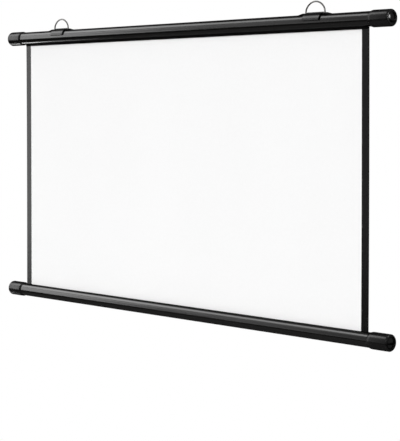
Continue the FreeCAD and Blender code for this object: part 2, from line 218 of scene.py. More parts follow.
# %% [markdown]
# ## Black coated tube
# The case and the bottom tube are drawn aluminium with a satin black coat. Drawing leaves
# fine lines that run the whole length. A picture of brushed metal would repeat itself, so the
# lines are noise that is stretched: long patches along X, and very thin ones across.
# Black coats mirror a small share of the light. A clear lacquer would mirror much more at a
# slant, which gives a tube in front of white two bright rims. A satin coat doesn't, so its
# gloss is a mirror that is mixed in by the same share at every angle.

# %% The black tube's finish
tube_black = Finish("satin_black_tube")
draw_lines = tube_black.noise((3.0, 900.0, 900.0), detail=3.0)
wide_lines = tube_black.noise((1.2, 260.0, 260.0))
handling = tube_black.noise((14.0, 30.0, 30.0), detail=4.0, roughness=0.6)
tube_shine = 0.0145
tube_shade = draw_lines * 0.45 + wide_lines * 0.55
tube_skin = tube_black.bump(tube_shade, 0.00003, 0.4)
tube_gloss = 0.10 + handling * 0.07 + draw_lines * 0.05
tube_black.set(
    Base_Color=tube_black.blend(tube_shade, grey(0.0012, 0.1), grey(0.0036, 0.08)),
    Roughness=tube_gloss,
    Specular_IOR_Level=0.0,
    Normal=tube_skin,
)
tube_black.add_gloss(tube_shine, tube_gloss, tube_skin)

# %% [markdown]
# ## Moulded plastics
# The end caps have the finely pitted skin of a spark-eroded mould, with a slightly uneven
# gloss from handling, and a polished dome in the middle of the end face. The clips are a
# smoother grade of the same black plastic, and the guide strips are soft and quite dull. One
# function makes all four from a colour, a shine, a gloss and a grain.

# %% Plastic with a moulded grain
grey_spread = 0.35


def moulded(name, level, shine, gloss, grain_size, grain_depth):
    """Plastic with pits of one size. Shine is the share that its skin mirrors, and gloss is
    the roughness where the skin is most worn."""
    finish = Finish(name)
    per_metre = 1.0 / grain_size
    pits = finish.noise((per_metre,) * 3, detail=3.0, roughness=0.65)
    patches = finish.noise((45.0, 45.0, 45.0), detail=3.0)
    skin = finish.bump(pits, grain_depth, 0.7)
    dulled = gloss + patches * 0.12 + pits * 0.06
    darker = grey(level * (1 - grey_spread), 0.02)
    lighter = grey(level * (1 + grey_spread), 0.02)
    finish.set(
        Base_Color=finish.blend(patches, darker, lighter),
        Roughness=dulled,
        Specular_IOR_Level=0.0,
        Normal=skin,
    )
    return finish.add_gloss(shine, dulled, skin)


# name, grey level, shine, gloss, size and depth of a pit in metres
cap_plastic = moulded("grained_cap_plastic", 0.002, 0.0108, 0.15, 0.0007, 0.00006)
boss_plastic = moulded("polished_boss_plastic", 0.002, 0.0115, 0.07, 0.0007, 0.00001)
clip_plastic = moulded("smooth_clip_plastic", 0.003, 0.013, 0.16, 0.0005, 0.00002)
guide_plastic = moulded("soft_guide_plastic", 0.002, 0.001, 0.6, 0.001, 0.00003)

# %% [markdown]
# ## Nickel-plated wire
# The rings are bent steel wire with a thin, darkened nickel plate: a grey metal, a little
# warm, with tiny dull spots where the plate has worn. One flat grey would do from afar, but it
# turns a thin wire into a drawn line. Fine noise in its gloss breaks up the highlights.

# %% The ring's finish
ring_nickel = Finish("nickel_plated_wire")
worn_spots = ring_nickel.noise((900.0, 900.0, 900.0), detail=3.0, roughness=0.7)
ring_nickel.set(
    Base_Color=ring_nickel.blend(worn_spots, grey(0.065, 0.02), grey(0.095, 0.03)),
    Metallic=1.0,
    Roughness=0.24 + worn_spots * 0.14,
    Specular_Tint=(0.1, 0.1, 0.1, 1.0),
    Normal=ring_nickel.bump(worn_spots, 0.00002, 0.5),
)

# %% [markdown]
# ## The cloth
# The sheet is a thin woven cloth with a matte white coat, so light spreads evenly from it.
# A woven ground is two crossed waves, one for the threads along and one for those across, and
# under a coat only a trace of it is left. The border is the same cloth printed black, which
# is smoother, and the back is black so that no light comes through.

# %% White face with black borders, and the black back
thread = 0.0006
picture_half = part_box("white_screen")[1].x


def weave(finish):
    """Height of a plain weave: the product of a wave along X and a wave along Z, from -1 to 1."""
    turns = 2 * math.pi / thread
    return (finish.along(0) * turns).sine() * (finish.along(2) * turns).sine()


screen_face = Finish("coated_screen_face")
threads = weave(screen_face)
coat = screen_face.noise((140.0, 140.0, 140.0), detail=3.0)
in_border = screen_face.along(0).size().above(picture_half)
picture_white = screen_face.blend(coat, grey(0.86), grey(0.89))
border_black = screen_face.blend(coat, grey(0.001), grey(0.002))
face_skin = screen_face.bump(threads * 0.5 + coat, 0.00003, 0.5)
white_gloss, border_gloss, face_shine = 0.82, 0.15, 0.0078
face_gloss = white_gloss - in_border * (white_gloss - border_gloss) + coat * 0.06
screen_face.set(
    Base_Color=screen_face.blend(in_border, picture_white, border_black),
    Roughness=face_gloss,
    Specular_IOR_Level=0.0,
    Normal=face_skin,
)
screen_face.add_gloss(face_shine, face_gloss, face_skin)

screen_back = Finish("black_screen_back")
back_threads = weave(screen_back)
back_cloud = screen_back.noise((60.0, 60.0, 60.0), detail=4.0)
screen_back.set(
    Base_Color=screen_back.blend(back_cloud, grey(0.012), grey(0.024)),
    Roughness=0.7 + back_cloud * 0.15,
    Specular_IOR_Level=0.25,
    Sheen_Weight=0.05,
    Normal=screen_back.bump(back_threads, 0.00005, 0.7),
)

# %% [markdown]
# ## The works inside the case
# Nobody sees these with the screen closed up, but each piece gets the finish that it has on a
# bench: milky bearing plastic, mill-finish aluminium, drawn steel and oiled spring wire. They
# differ in colour, gloss and the way their lines run, so one function takes those three.

# %% Finishes for the inner pieces
def metal(name, dark, light, gloss, lines):
    """Bare metal with marks. Lines is how many marks fit in a metre along X, Y and Z."""
    finish = Finish(name)
    marks = finish.noise(lines, detail=4.0, roughness=0.6)
    stain = finish.noise((70.0, 70.0, 70.0), detail=3.0)
    finish.set(
        Base_Color=finish.blend(stain, dark, light),
        Metallic=1.0,
        Roughness=gloss + marks * 0.18,
        Normal=finish.bump(marks, 0.00003, 0.5),
    )
    return finish


# name, darker and lighter grey, gloss, marks per metre
mill_aluminium = metal("mill_aluminium", grey(0.56), grey(0.66), 0.24, (8.0, 1200.0, 1200.0))
drawn_steel = metal("drawn_steel", grey(0.38), grey(0.5), 0.2, (20.0, 1500.0, 1500.0))
spring_wire = metal("oiled_spring_wire", grey(0.16, 0.05), grey(0.26, 0.04), 0.22, (900.0,) * 3)

bearing_plastic = Finish("milky_bearing_plastic")
flow_marks = bearing_plastic.noise((60.0, 180.0, 180.0), detail=3.0)
bearing_plastic.set(
    Base_Color=bearing_plastic.blend(flow_marks, (0.66, 0.65, 0.60, 1.0), (0.76, 0.75, 0.71, 1.0)),
    Roughness=0.32 + flow_marks * 0.14,
    Subsurface_Weight=0.08,
    Normal=bearing_plastic.bump(flow_marks, 0.00005, 0.4),
)

inner_finishes = {
    bearing_plastic: (
        "spindle_bracket", "idler_bracket", "idler_bush", "roller_head", "spring_anchor",
        "idler_plug",
    ),
    mill_aluminium: ("roller_tube",),
    drawn_steel: (
        "spindle", "spring_boss", "ratchet_wheel", "pawl_upper", "pawl_lower", "pawl_pins",
        "hem_rod",
    ),
    spring_wire: ("torsion_spring",),
}
for finish, node_names in inner_finishes.items():
    for node_name in node_names:
        mesh = frame["nodes"][node_name].data
        mesh.materials.clear()
        mesh.materials.append(finish.material)
print("inner pieces with a finish:", sum(len(names) for names in inner_finishes.values()))

# %% [markdown]
# ## From a grid of points to a piece
# A tube, a cap, a ring and a cloth are all one thing: a sheet of points with two counts, one
# along and one around. numpy works out all the points at once, and Blender gets them as one
# list. A grid may close on itself either way, and points that fall together, as at the tip of
# a dome, are merged, so that the skin closes. Each piece prints how many edges stay open: none,
# but for the two tubes, whose flat ends have 16 each at the slot's lips, inside the caps.

# %% Make a piece from grids of points
sharp_angle = 35.0
merge_distance = 1e-6


def cell_corners(numbers):
    """The corners of every cell of a grid: (i, j), (i + 1, j), (i + 1, j + 1) and (i, j + 1)."""
    return numbers[:-1, :-1], numbers[1:, :-1], numbers[1:, 1:], numbers[:-1, 1:]


def piece_from_grids(name, grids, finish, body, nodes):
    """A mesh with one quad for every cell. Each grid is (points, close rows, close columns,
    material index)."""
    points = []
    faces = []
    slots = []
    first = 0
    for grid, close_rows, close_columns, index in grids:
        numbers = np.arange(grid.shape[0] * grid.shape[1]).reshape(grid.shape[:2]) + first
        if close_rows:
            numbers = np.vstack((numbers, numbers[:1]))
        if close_columns:
            numbers = np.hstack((numbers, numbers[:, :1]))
        points.append(grid.reshape(-1, 3))
        faces.append(np.stack(cell_corners(numbers), axis=-1).reshape(-1, 4))
        slots.append(np.full(len(faces[-1]), index))
        first += grid.shape[0] * grid.shape[1]
    mesh = bpy.data.meshes.new(name)
    mesh.from_pydata(np.vstack(points).tolist(), [], np.vstack(faces).tolist())
    for one in finish if isinstance(finish, tuple) else (finish,):
        mesh.materials.append(one.material)
    mesh.polygons.foreach_set("material_index", np.concatenate(slots).astype(np.int32))
    return finished_piece(name, mesh, body, nodes)


def finished_piece(name, mesh, body, nodes):
    """Merge doubles, turn faces outwards, smooth all but sharp edges, and hand the piece over."""
    work = bmesh.new()
    work.from_mesh(mesh)
    bmesh.ops.remove_doubles(work, verts=work.verts, dist=merge_distance)
    bmesh.ops.dissolve_degenerate(work, edges=work.edges, dist=merge_distance / 10)
    bmesh.ops.recalc_face_normals(work, faces=work.faces)
    open_edges = sum(1 for edge in work.edges if len(edge.link_faces) != 2)
    work.to_mesh(mesh)
    work.free()
    mesh.polygons.foreach_set("use_smooth", np.ones(len(mesh.polygons), dtype=bool))
    mesh.set_sharp_from_angle(angle=math.radians(sharp_angle))
    piece = bpy.data.objects.new(name, mesh)
    bpy.context.scene.collection.objects.link(piece)
    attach(piece, body)
    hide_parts(*nodes)
    print(name, "faces", len(mesh.polygons), "open edges", open_edges)
    return piece


# %% [markdown]
# ## Outlines with rounded corners
# Nothing made has perfectly sharp corners: extruded lips, moulded rims and pressed edges all
# catch a thin line of light. An outline is written as a few corners, each with its radius, and
# one function puts an arc that touches both legs into each corner.

# %% Round the corners of an outline
def rounded(corners, radii, steps=6, closed=True):
    """Each corner becomes an arc: its centre lies on the corner's bisector, at the radius
    divided by the sine of half the angle, and its ends lie where the legs touch it. The least
    values keep a corner that is straight from dividing by zero."""
    corners = np.asarray(corners, dtype=float)
    back = np.roll(corners, 1, axis=0) - corners
    ahead = np.roll(corners, -1, axis=0) - corners
    back /= np.linalg.norm(back, axis=1, keepdims=True)
    ahead /= np.linalg.norm(ahead, axis=1, keepdims=True)
    half = np.arccos(np.clip((back * ahead).sum(axis=1), -1, 1)) / 2
    radii = np.asarray(radii, dtype=float)
    bisector = back + ahead
    bisector /= np.maximum(np.linalg.norm(bisector, axis=1, keepdims=True), 1e-12)
    centres = corners + bisector * (radii / np.sin(half))[:, None]
    starts = corners + back * (radii / np.tan(half))[:, None] - centres
    ends = corners + ahead * (radii / np.tan(half))[:, None] - centres
    turn = np.pi - 2 * half
    share = np.linspace(0, 1, steps + 1)[None, :, None]
    flat = np.sin(np.maximum(turn, 1e-9))[:, None, None]
    angle = turn[:, None, None]
    from_start = np.sin((1 - share) * angle) * starts[:, None]
    from_end = np.sin(share * angle) * ends[:, None]
    points = centres[:, None] + (from_start + from_end) / flat
    if closed:
        return points.reshape(-1, 2)
    middle = points[1:-1].reshape(-1, 2)
    return np.vstack((corners[:1], middle, corners[-1:]))


square = rounded([(0, 0), (1, 0), (1, 1), (0, 1)], [0.1] * 4)
print("points of a square with rounded corners:", len(square))


# %% Arcs, and sections that are carried along
def arc(centre, radius, start, stop, steps):
    """Points on a circle, at even steps between two angles in degrees."""
    angle = np.radians(np.linspace(start, stop, steps + 1))
    return np.asarray(centre) + radius * np.stack((np.cos(angle), np.sin(angle)), axis=-1)


def carried(section, stations, centre=None):
    """A closed section of (y, z) points repeated at stations along X, with both ends closed
    on a middle line or point."""
    inner = np.broadcast_to(section.mean(axis=0), section.shape) if centre is None else centre
    rows = [inner] + [section] * len(stations) + [inner]
    places = np.concatenate((stations[:1], stations, stations[-1:]))
    grid = np.zeros((len(rows), len(section), 3))
    grid[:, :, 0] = places[:, None]
    grid[:, :, 1:] = np.stack(rows)
    return grid


print("points of a half circle in ten steps:", len(arc((0, 0), 1, 0, 180, 10)))

# %% [markdown]
# ## The case and the bottom tube
# Both are one extruded section: a round tube with a slot along it, below in the case and above
# in the bottom tube, where the sheet goes through. The lips of the slot are rounded. The
# section is drawn once as a band round a circle, and carried along X in even steps.

# %% Slotted tubes
case_low, case_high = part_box("top_case")
bar_low, bar_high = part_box("bottom_tube")
tube_radius = (case_high.y - case_low.y) / 2
case_level = case_high.z - tube_radius
bar_level = bar_low.z + tube_radius
tube_wall = 0.0013
tube_steps, band_steps, lip_steps = 40, 120, 8


def slotted_tube(name, level, slot_width, slot_turn, body, node, box):
    """Outer arc, rounded lip, inner arc and rounded lip of a band, turned so that the gap
    between the lips is the slot."""
    middle_radius = tube_radius - tube_wall / 2
    lip_radius = tube_wall / 2
    gap = math.degrees(math.asin((slot_width / 2 + lip_radius) / middle_radius))
    start, stop = slot_turn + gap, slot_turn + 360 - gap

    def lip(angle, first):
        centre = arc((0, level), middle_radius, angle, angle, 0)[0]
        return arc(centre, lip_radius, first, first + 180, lip_steps)[1:-1]

    outer = arc((0, level), tube_radius, start, stop, band_steps)
    inner = arc((0, level), tube_radius - tube_wall, stop, start, band_steps)
    section = np.vstack((outer, lip(stop, stop), inner, lip(start, start + 180)))
    turn = np.arctan2(section[:, 1] - level, section[:, 0])
    middle = np.stack((middle_radius * np.cos(turn), level + middle_radius * np.sin(turn)), axis=-1)
    stations = np.linspace(box[0].x, box[1].x, tube_steps + 1)
    grid = carried(section, stations, middle)
    piece_from_grids(name, [(grid, False, True, 0)], tube_black, body, [node])


case_slot = 0.006
bar_slot = 0.004
slotted_tube("case_tube", case_level, case_slot, 270, "case", "top_case", (case_low, case_high))
slotted_tube("bar_tube", bar_level, bar_slot, 90, "bottom_bar", "bottom_tube", (bar_low, bar_high))

# %% [markdown]
# ## End caps
# A cap is a turned shape: a sleeve that tapers onto the tube at its mouth, a well rounded
# edge, and an end face with a ring groove round a low dome. A Screw or Spin modifier could turn
# it. Here the outline's distance from the axis is multiplied by the sine and cosine of the turn,
# all points at once, and the dome's tip is one merged point.

# %% The cap's outline
cap_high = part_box("top_cap_right")[1]
cap_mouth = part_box("top_cap_right")[0].x
cap_radius = cap_high.y
fit_gap = 0.00005
cap_sleeve = tube_radius + fit_gap
cap_floor = case_high.x
cap_turns = 96
mouth_lip = 0.00035
mouth_taper = 0.006
edge_round = 0.004
groove_out = 0.0124
groove_in = 0.0102
groove_depth = 0.0022
groove_draft = 0.0003
dome_rise = 0.0021
dome_steps = 12


def cap_outline():
    """Half the cap's section as (x, distance from the axis), from the inner floor round the
    mouth, over the outside and the rounded edge, down the groove and up the dome. A corner's
    third number is its radius."""
    end = cap_high.x
    face = end - groove_depth
    corners = np.array([
        (cap_floor, 0, 0),
        (cap_floor, cap_sleeve, 0.0005),
        (cap_mouth, cap_sleeve, 0.00008),
        (cap_mouth, cap_sleeve + mouth_lip, 0.00012),
        (cap_mouth + mouth_taper, cap_radius, mouth_taper),
        (end, cap_radius, edge_round),
        (end, groove_out, 0.0005),
        (face, groove_out - groove_draft, 0.0004),
        (face, groove_in, 0),
    ])
    line = rounded(corners[:, :2], corners[:, 2], steps=8, closed=False)
    ball = (groove_in ** 2 + dome_rise ** 2) / (2 * dome_rise)
    slope = np.linspace(math.asin(groove_in / ball), 0, dome_steps + 1)
    dome = np.stack((face + dome_rise - ball * (1 - np.cos(slope)), ball * np.sin(slope)), axis=-1)
    return np.vstack((line, dome[1:]))


print("points of a cap's outline:", len(cap_outline()))


# %% Four end caps
def end_cap(name, side, level, body):
    """The outline turned about the tube's axis: y and z are the distance from the axis times
    the cosine and the sine of the turn."""
    x, radius = cap_outline().T
    turn = np.linspace(0, 2 * np.pi, cap_turns, endpoint=False)
    grid = np.zeros((len(x), cap_turns, 3))
    grid[:, :, 0] = side * x[:, None]
    grid[:, :, 1] = radius[:, None] * np.cos(turn)
    grid[:, :, 2] = level + radius[:, None] * np.sin(turn)
    grids = [(grid[:-dome_steps], False, True, 0), (grid[-dome_steps - 1:], False, True, 1)]
    node = name.replace("_plug", "")
    piece_from_grids(name, grids, (cap_plastic, boss_plastic), body, [node])


for side_name, side in (("left", -1), ("right", 1)):
    end_cap("top_cap_" + side_name + "_plug", side, case_level, "case")
    end_cap("bottom_cap_" + side_name + "_plug", side, bar_level, "bottom_bar")

# %% [markdown]
# ## The slot guide
# Two soft strips clip into the slot of the case. The sheet runs between them, and they keep
# it off the metal lips. Each is an upright stem with a foot that spreads inside the tube.

# %% Two guide strips
foot_thick = 0.0013
stem_round, foot_round, fold_round = 0.0005, 0.0003, 0.0002
under_steps, over_steps = 8, 12


def guide_strip(name, side, node):
    """Stem and foot as one outline with rounded corners, carried along X. The foot's upper
    and lower sides follow the bore of the case."""
    low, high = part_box(node)
    near = min(abs(low.y), abs(high.y))
    far = case_slot / 2 - fit_gap
    reach = max(abs(low.y), abs(high.y))
    bore = tube_radius - tube_wall - fit_gap

    def on_bore(y, radius):
        return case_level - math.sqrt(radius ** 2 - y ** 2)

    outwards = np.linspace(far, reach, under_steps + 1)
    inwards = np.linspace(reach, near, over_steps + 1)
    foot_under = [(y, on_bore(y, bore)) for y in outwards]
    foot_over = [(y, on_bore(y, bore - foot_thick)) for y in inwards]
    corners = [(near, low.z), (far, low.z)] + foot_under + foot_over
    under_radii = [foot_round] + [0] * (under_steps - 1) + [foot_round]
    over_radii = [foot_round] + [0] * (over_steps - 1) + [fold_round]
    section = rounded(corners, [stem_round] * 2 + under_radii + over_radii, steps=4)
    section[:, 0] *= side
    grid = carried(section, np.linspace(low.x, high.x, tube_steps + 1))
    piece_from_grids(name, [(grid, False, True, 0)], guide_plastic, "case", [node])


guide_strip("front_guide_strip", -1, "guide_lip_front")
guide_strip("rear_guide_strip", 1, "guide_lip_rear")

# %% [markdown]
# ## D-rings
# A ring is one bent wire: a straight bar that lies in the clip, and a bow that stands up, with
# two round haunches and a flatter crown between them. A bevelled curve would do it. Here a
# circle is carried along the centre line, square to its direction at every point, and the
# grid closes both ways.

# %% Two D-rings
ring_low, ring_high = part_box("d_ring_left")
wire_radius = (ring_high.y - ring_low.y) / 2
ring_half = (ring_high.x - ring_low.x) / 2 - wire_radius
ring_corner = 0.0022
ring_haunch = 0.019
ring_axis = ring_low.z + wire_radius
ring_foot = ring_axis + ring_corner
ring_rise = ring_high.z - wire_radius - ring_foot
haunch_steps, crown_steps, corner_steps, bar_steps, wire_steps = 16, 60, 8, 24, 20
print("wire", round(wire_radius * 2000, 2), "mm thick, bow", round(ring_rise * 1000, 1), "mm high")


def ring_line(middle_x):
    """Centre line as (x, z). Its haunches, crown, corners and bar all touch without a kink:
    the crown's radius is the one whose circle meets both haunches on their common line."""
    inset = ring_half - ring_haunch
    crown = (inset ** 2 + ring_rise ** 2 - ring_haunch ** 2) / (2 * (ring_rise - ring_haunch))
    lean = math.degrees(math.atan2(crown - ring_rise, inset))
    bar_half = ring_half - ring_corner
    pieces = [
        arc((inset, ring_foot), ring_haunch, 0, lean, haunch_steps)[1:],
        arc((0, ring_foot + ring_rise - crown), crown, lean, 180 - lean, crown_steps)[1:],
        arc((-inset, ring_foot), ring_haunch, 180 - lean, 180, haunch_steps)[1:],
        arc((-bar_half, ring_foot), ring_corner, 180, 270, corner_steps)[1:],
        np.linspace((-bar_half, ring_axis), (bar_half, ring_axis), bar_steps + 1)[1:],
        arc((bar_half, ring_foot), ring_corner, 270, 360, corner_steps)[1:],
    ]
    return np.vstack(pieces) + (middle_x, 0)


def d_ring(side_name, body):
    """Wire surface: centre line, plus the wire's radius times the cosine of the turn along the
    in-plane normal, and times the sine of the turn along Y."""
    low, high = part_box("d_ring_" + side_name)
    line = ring_line((low.x + high.x) / 2)
    ahead = np.roll(line, -1, axis=0) - np.roll(line, 1, axis=0)
    ahead /= np.linalg.norm(ahead, axis=1, keepdims=True)
    normal = np.stack((ahead[:, 1], -ahead[:, 0]), axis=-1)
    turn = np.linspace(0, 2 * np.pi, wire_steps, endpoint=False)
    flat = line[:, None] + wire_radius * np.cos(turn)[None, :, None] * normal[:, None]
    grid = np.zeros(flat.shape[:2] + (3,))
    grid[:, :, 0] = flat[:, :, 0]
    grid[:, :, 1] = wire_radius * np.sin(turn)
    grid[:, :, 2] = flat[:, :, 1]
    piece_from_grids("wire_ring_" + side_name, [(grid, True, True, 0)], ring_nickel, body,
                     ["d_ring_" + side_name])


d_ring("left", "ring_left")
d_ring("right", "ring_right")

# %% [markdown]
# ## Hanger clips
# A clip is a moulded saddle that snaps round the case. A band down its middle holds the ring's
# bar in a groove, and a notch on each side lets the ring swing. It is a thick skin: a map of
# cells by place along X and by angle round the tube says where there is plastic, and one
# function says how far its outside and its inside are from the axis. Walls stand wherever a
# filled cell meets an empty one, and a small bevel softens every edge. A Boolean could cut the
# notches from a turned shape, but its faces would be uneven, and bevels fail on those.

# %% Sizes of a clip
clip_low, clip_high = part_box("hanger_clip_left")
clip_height = 0.0032
clip_in = tube_radius + fit_gap
clip_out = tube_radius + clip_height
ramp_thin = 0.0009
ramp_length = 0.010
bar_height = ring_axis - case_level
band_gap, notch_gap, groove_gap, rib_wall = 0.0013, 0.0008, 0.0001, 0.0008
band_half = ring_half - ring_corner - band_gap
notch_end = ring_half + wire_radius + notch_gap
saddle_half = (clip_high.x - clip_low.x) / 2
ramp_half = saddle_half - ramp_length
groove_radius = wire_radius + groove_gap
rib_radius = groove_radius + rib_wall
band_front, clip_rear, saddle_front, notch_rear = 8.0, 215.0, 58.0, 128.0
cell_length, cell_turn, fine_turn = 0.0016, 3.0, 0.6
print("half a band", round(band_half, 4), "m, half a saddle", round(saddle_half, 4), "m")


# %% The skin of a clip
def lines_between(stops, step):
    """Even lines at about one step between each stop and the next."""
    stops = sorted(stops)
    spans = []
    for start, stop in zip(stops, stops[1:]):
        count = max(2, int(round((stop - start) / step)) + 1)
        spans.append(np.linspace(start, stop, count)[:-1])
    return np.concatenate(spans + [stops[-1:]])


def clip_radii(x, angle):
    """Distance of the outside and the inside from the axis. The outside is level on the band,
    falls along the ramps, and swells over the bar where a circle round the bar stands
    higher. The inside rises to the top of the bar's groove."""
    across = bar_height * np.sin(np.radians(angle - 90))
    along = bar_height * np.cos(np.radians(angle - 90))
    ramp = np.clip((np.abs(x) - ramp_half) / (saddle_half - ramp_half), 0, 1)
    outside = clip_out - (clip_out - clip_in - ramp_thin) * ramp
    in_band = np.abs(x) <= band_half + 1e-9
    rib = along + np.sqrt(np.clip(rib_radius ** 2 - across ** 2, 0, None))
    outside = np.where(in_band & (np.abs(across) < rib_radius), np.maximum(outside, rib), outside)
    groove = along + np.sqrt(np.clip(groove_radius ** 2 - across ** 2, 0, None))
    inside = np.where(in_band & (np.abs(across) < groove_radius), groove, clip_in)
    return outside, inside


def clip_mesh(name, middle_x):
    """Cells that hold plastic get an outer and an inner quad, and a wall on each side where
    the next cell is empty."""
    groove_turn = math.degrees(math.asin(groove_radius / bar_height))
    right_stops = [band_half, notch_end, ramp_half, saddle_half]
    xs = lines_between([-stop for stop in right_stops] + right_stops, cell_length)
    turn_stops = [band_front, saddle_front, 90 - groove_turn, 90 + groove_turn, notch_rear,
                  clip_rear]
    turns = lines_between(turn_stops, cell_turn)
    near_groove = lines_between([90 - 2 * groove_turn, 90 + 2 * groove_turn], fine_turn)
    turns = np.unique(np.round(np.concatenate((turns, near_groove)), decimals=6))
    x_mid = (xs[1:] + xs[:-1]) / 2
    a_mid = (turns[1:] + turns[:-1]) / 2
    cell_x, cell_a = np.meshgrid(np.abs(x_mid), a_mid, indexing="ij")
    band = cell_x < band_half
    notch = (cell_x < notch_end) & (cell_a < notch_rear)
    filled = band | ((cell_a > saddle_front) & ~notch)
    grid_x, grid_a = np.meshgrid(xs, turns, indexing="ij")
    outside, inside = clip_radii(grid_x, grid_a)
    angle = np.radians(grid_a)

    def skin(radius):
        y, z = -radius * np.cos(angle), case_level + radius * np.sin(angle)
        return np.stack((grid_x + middle_x, y, z), axis=-1)

    points = np.concatenate((skin(outside).reshape(-1, 3), skin(inside).reshape(-1, 3)))
    count = grid_x.size
    number = np.arange(count).reshape(grid_x.shape)
    a, b, c, d = cell_corners(number)
    quads = [np.stack((a, b, c, d), -1)[filled], np.stack((d, c, b, a), -1)[filled] + count]
    padded = np.pad(filled, 1)
    sides = (
        (padded[1:-1, :-2], a, b), (padded[2:, 1:-1], b, c),
        (padded[1:-1, 2:], c, d), (padded[:-2, 1:-1], d, a),
    )
    for neighbour, p, q in sides:
        edge = filled & ~neighbour
        quads.append(np.stack((q, p, p + count, q + count), -1)[edge])
    mesh = bpy.data.meshes.new(name)
    used = np.unique(np.vstack(quads))
    renumber = np.zeros(2 * count, dtype=int)
    renumber[used] = np.arange(len(used))
    mesh.from_pydata(points[used].tolist(), [], renumber[np.vstack(quads)].tolist())
    mesh.materials.append(clip_plastic.material)
    print(name, "cells", int(filled.sum()), "of", filled.size)
    return mesh


# %% Two hanger clips
def hanger_clip(side_name):
    """Build the skin, then soften its edges with a small bevel."""
    node = "hanger_clip_" + side_name
    low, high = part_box(node)
    mesh = clip_mesh("saddle_clip_" + side_name, (low.x + high.x) / 2)
    piece = finished_piece("saddle_clip_" + side_name, mesh, "case", [node])
    soften = piece.modifiers.new("soft_edges", "BEVEL")
    soften.width = 0.00035
    soften.segments = 2
    soften.limit_method = "ANGLE"
    soften.angle_limit = math.radians(40)


hanger_clip("left")
hanger_clip("right")

# %% [markdown]
# ## The projection sheet
# One cloth, 0.4 mm thick, hangs from the roller to the bottom tube. It looks flat, but a real
# one is never quite flat: it has faint upright waves, and its side borders curl a little. Cloth
# simulation is for folds and drape; a sheet that a bar pulls tight is a plane with a gentle
# wave, so the wave is a sum of sines that fades to nothing at the slot and at the bar.

# %% Size and ripple of the sheet
sheet_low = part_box("border_left")[0]
sheet_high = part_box("border_right")[1]
cloth_thick = sheet_high.y - sheet_low.y
lift = next(joint for joint in frame["joints"] if joint["name"] == "bar_lift")
travel = lift["range_m"][1]
sheet_height = sheet_high.z - sheet_low.z
# height in metres, angle per metre along X, drift of the angle up the sheet, angle at the middle
ripples = ((0.00035, 9.1, 1.3, 0.4), (0.00022, 17.3, -2.1, 1.9), (0.00013, 31.7, 3.7, 0.7))
curl_start, curl_height = 0.50, 0.0009
hold_power = 0.8
cloth_step, cloth_rows = 0.009, 73


def ripple(x, z):
    """How far the cloth stands out, in metres: three waves along X with slow drift up the
    sheet, and the last centimetres at both sides curl back, all fading at top and bottom."""
    up = (z - sheet_low.z) / sheet_height
    hold = np.sin(np.pi * up) ** hold_power
    waves = sum(height * np.sin(rate * x + drift * up + start)
                for height, rate, drift, start in ripples)
    curl = np.clip((np.abs(x) - curl_start) / (sheet_high.x - curl_start), 0, 1) ** 2
    return hold * (curl_height * curl - waves)


# %% The sheet between the two tubes
def cloth_skin(x_lines, z_lines, offset):
    """One face of the cloth: the rippled middle surface moved along Y by half the thickness."""
    x, z = np.meshgrid(x_lines, z_lines, indexing="ij")
    return np.stack((x, ripple(x, z) + offset, z), axis=-1)


x_lines = lines_between([sheet_low.x, -picture_half, picture_half, sheet_high.x], cloth_step)
z_lines = np.linspace(sheet_low.z, sheet_high.z, cloth_rows)
front = cloth_skin(x_lines, z_lines, -cloth_thick / 2)
back = cloth_skin(x_lines, z_lines, cloth_thick / 2)
rim_front = np.concatenate((front[:, 0], front[-1, 1:], front[-2::-1, -1], front[0, -2:0:-1]))
rim_back = np.concatenate((back[:, 0], back[-1, 1:], back[-2::-1, -1], back[0, -2:0:-1]))
rim = np.stack((rim_front, rim_back))
sheet_grids = [(front, False, False, 0), (back, False, False, 1), (rim, False, True, 1)]
sheet = piece_from_grids("projection_sheet", sheet_grids, (screen_face, screen_back), "case",
                         ["white_screen", "border_left", "border_right"])
1 - travel / sheet_height
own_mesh(sheet)

# %% [markdown]
# ## Cloth inside the tubes
# The same cloth goes on above the slot to the roller, lies round it in three turns that never
# come off, and ends in a hem round a rod inside the bottom tube. Each stretch is a line in
# the cross-section, given the cloth's thickness on both sides and carried along X.

# %% A strip of cloth from a line
strip_points = 25


def strip_section(line, thick):
    """A closed outline round a line: the line moved half a thickness to each side, square to
    its direction."""
    ahead = np.gradient(line, axis=0)
    ahead /= np.linalg.norm(ahead, axis=1, keepdims=True)
    side = np.stack((-ahead[:, 1], ahead[:, 0]), axis=-1) * thick / 2
    return np.vstack((line + side, (line - side)[::-1]))


def cloth_strip(name, line, thick, body, nodes):
    section = strip_section(line, thick)
    middle = np.vstack((line, line[::-1]))
    grid = carried(section, np.linspace(sheet_low.x, sheet_high.x, strip_points), middle)
    piece = piece_from_grids(name, [(grid, False, True, 0)], screen_back, body,
                             nodes)


# %% Safety turns, lead and hem
roller_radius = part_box("roller_tube")[1].y
roll_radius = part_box("sheet_roll")[1].y
safety_turns = 3
turn_points, loop_steps = 180, 64
gap_share = 0.96
turn = np.linspace(0, 2 * np.pi * safety_turns, turn_points)
spiral_start = roller_radius + cloth_thick / 2
spiral_stop = roll_radius - cloth_thick / 2
spiral_radius = spiral_start + (spiral_stop - spiral_start) * turn / turn[-1]
lead_low, lead_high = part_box("sheet_lead")
spiral_y, spiral_z = spiral_radius * np.cos(turn), case_level + spiral_radius * np.sin(turn)
spiral = np.stack((spiral_y, spiral_z), axis=-1)
cloth_strip("safety_turns", spiral, cloth_thick * gap_share * 2 / 3, "roller", ["sheet_roll"])

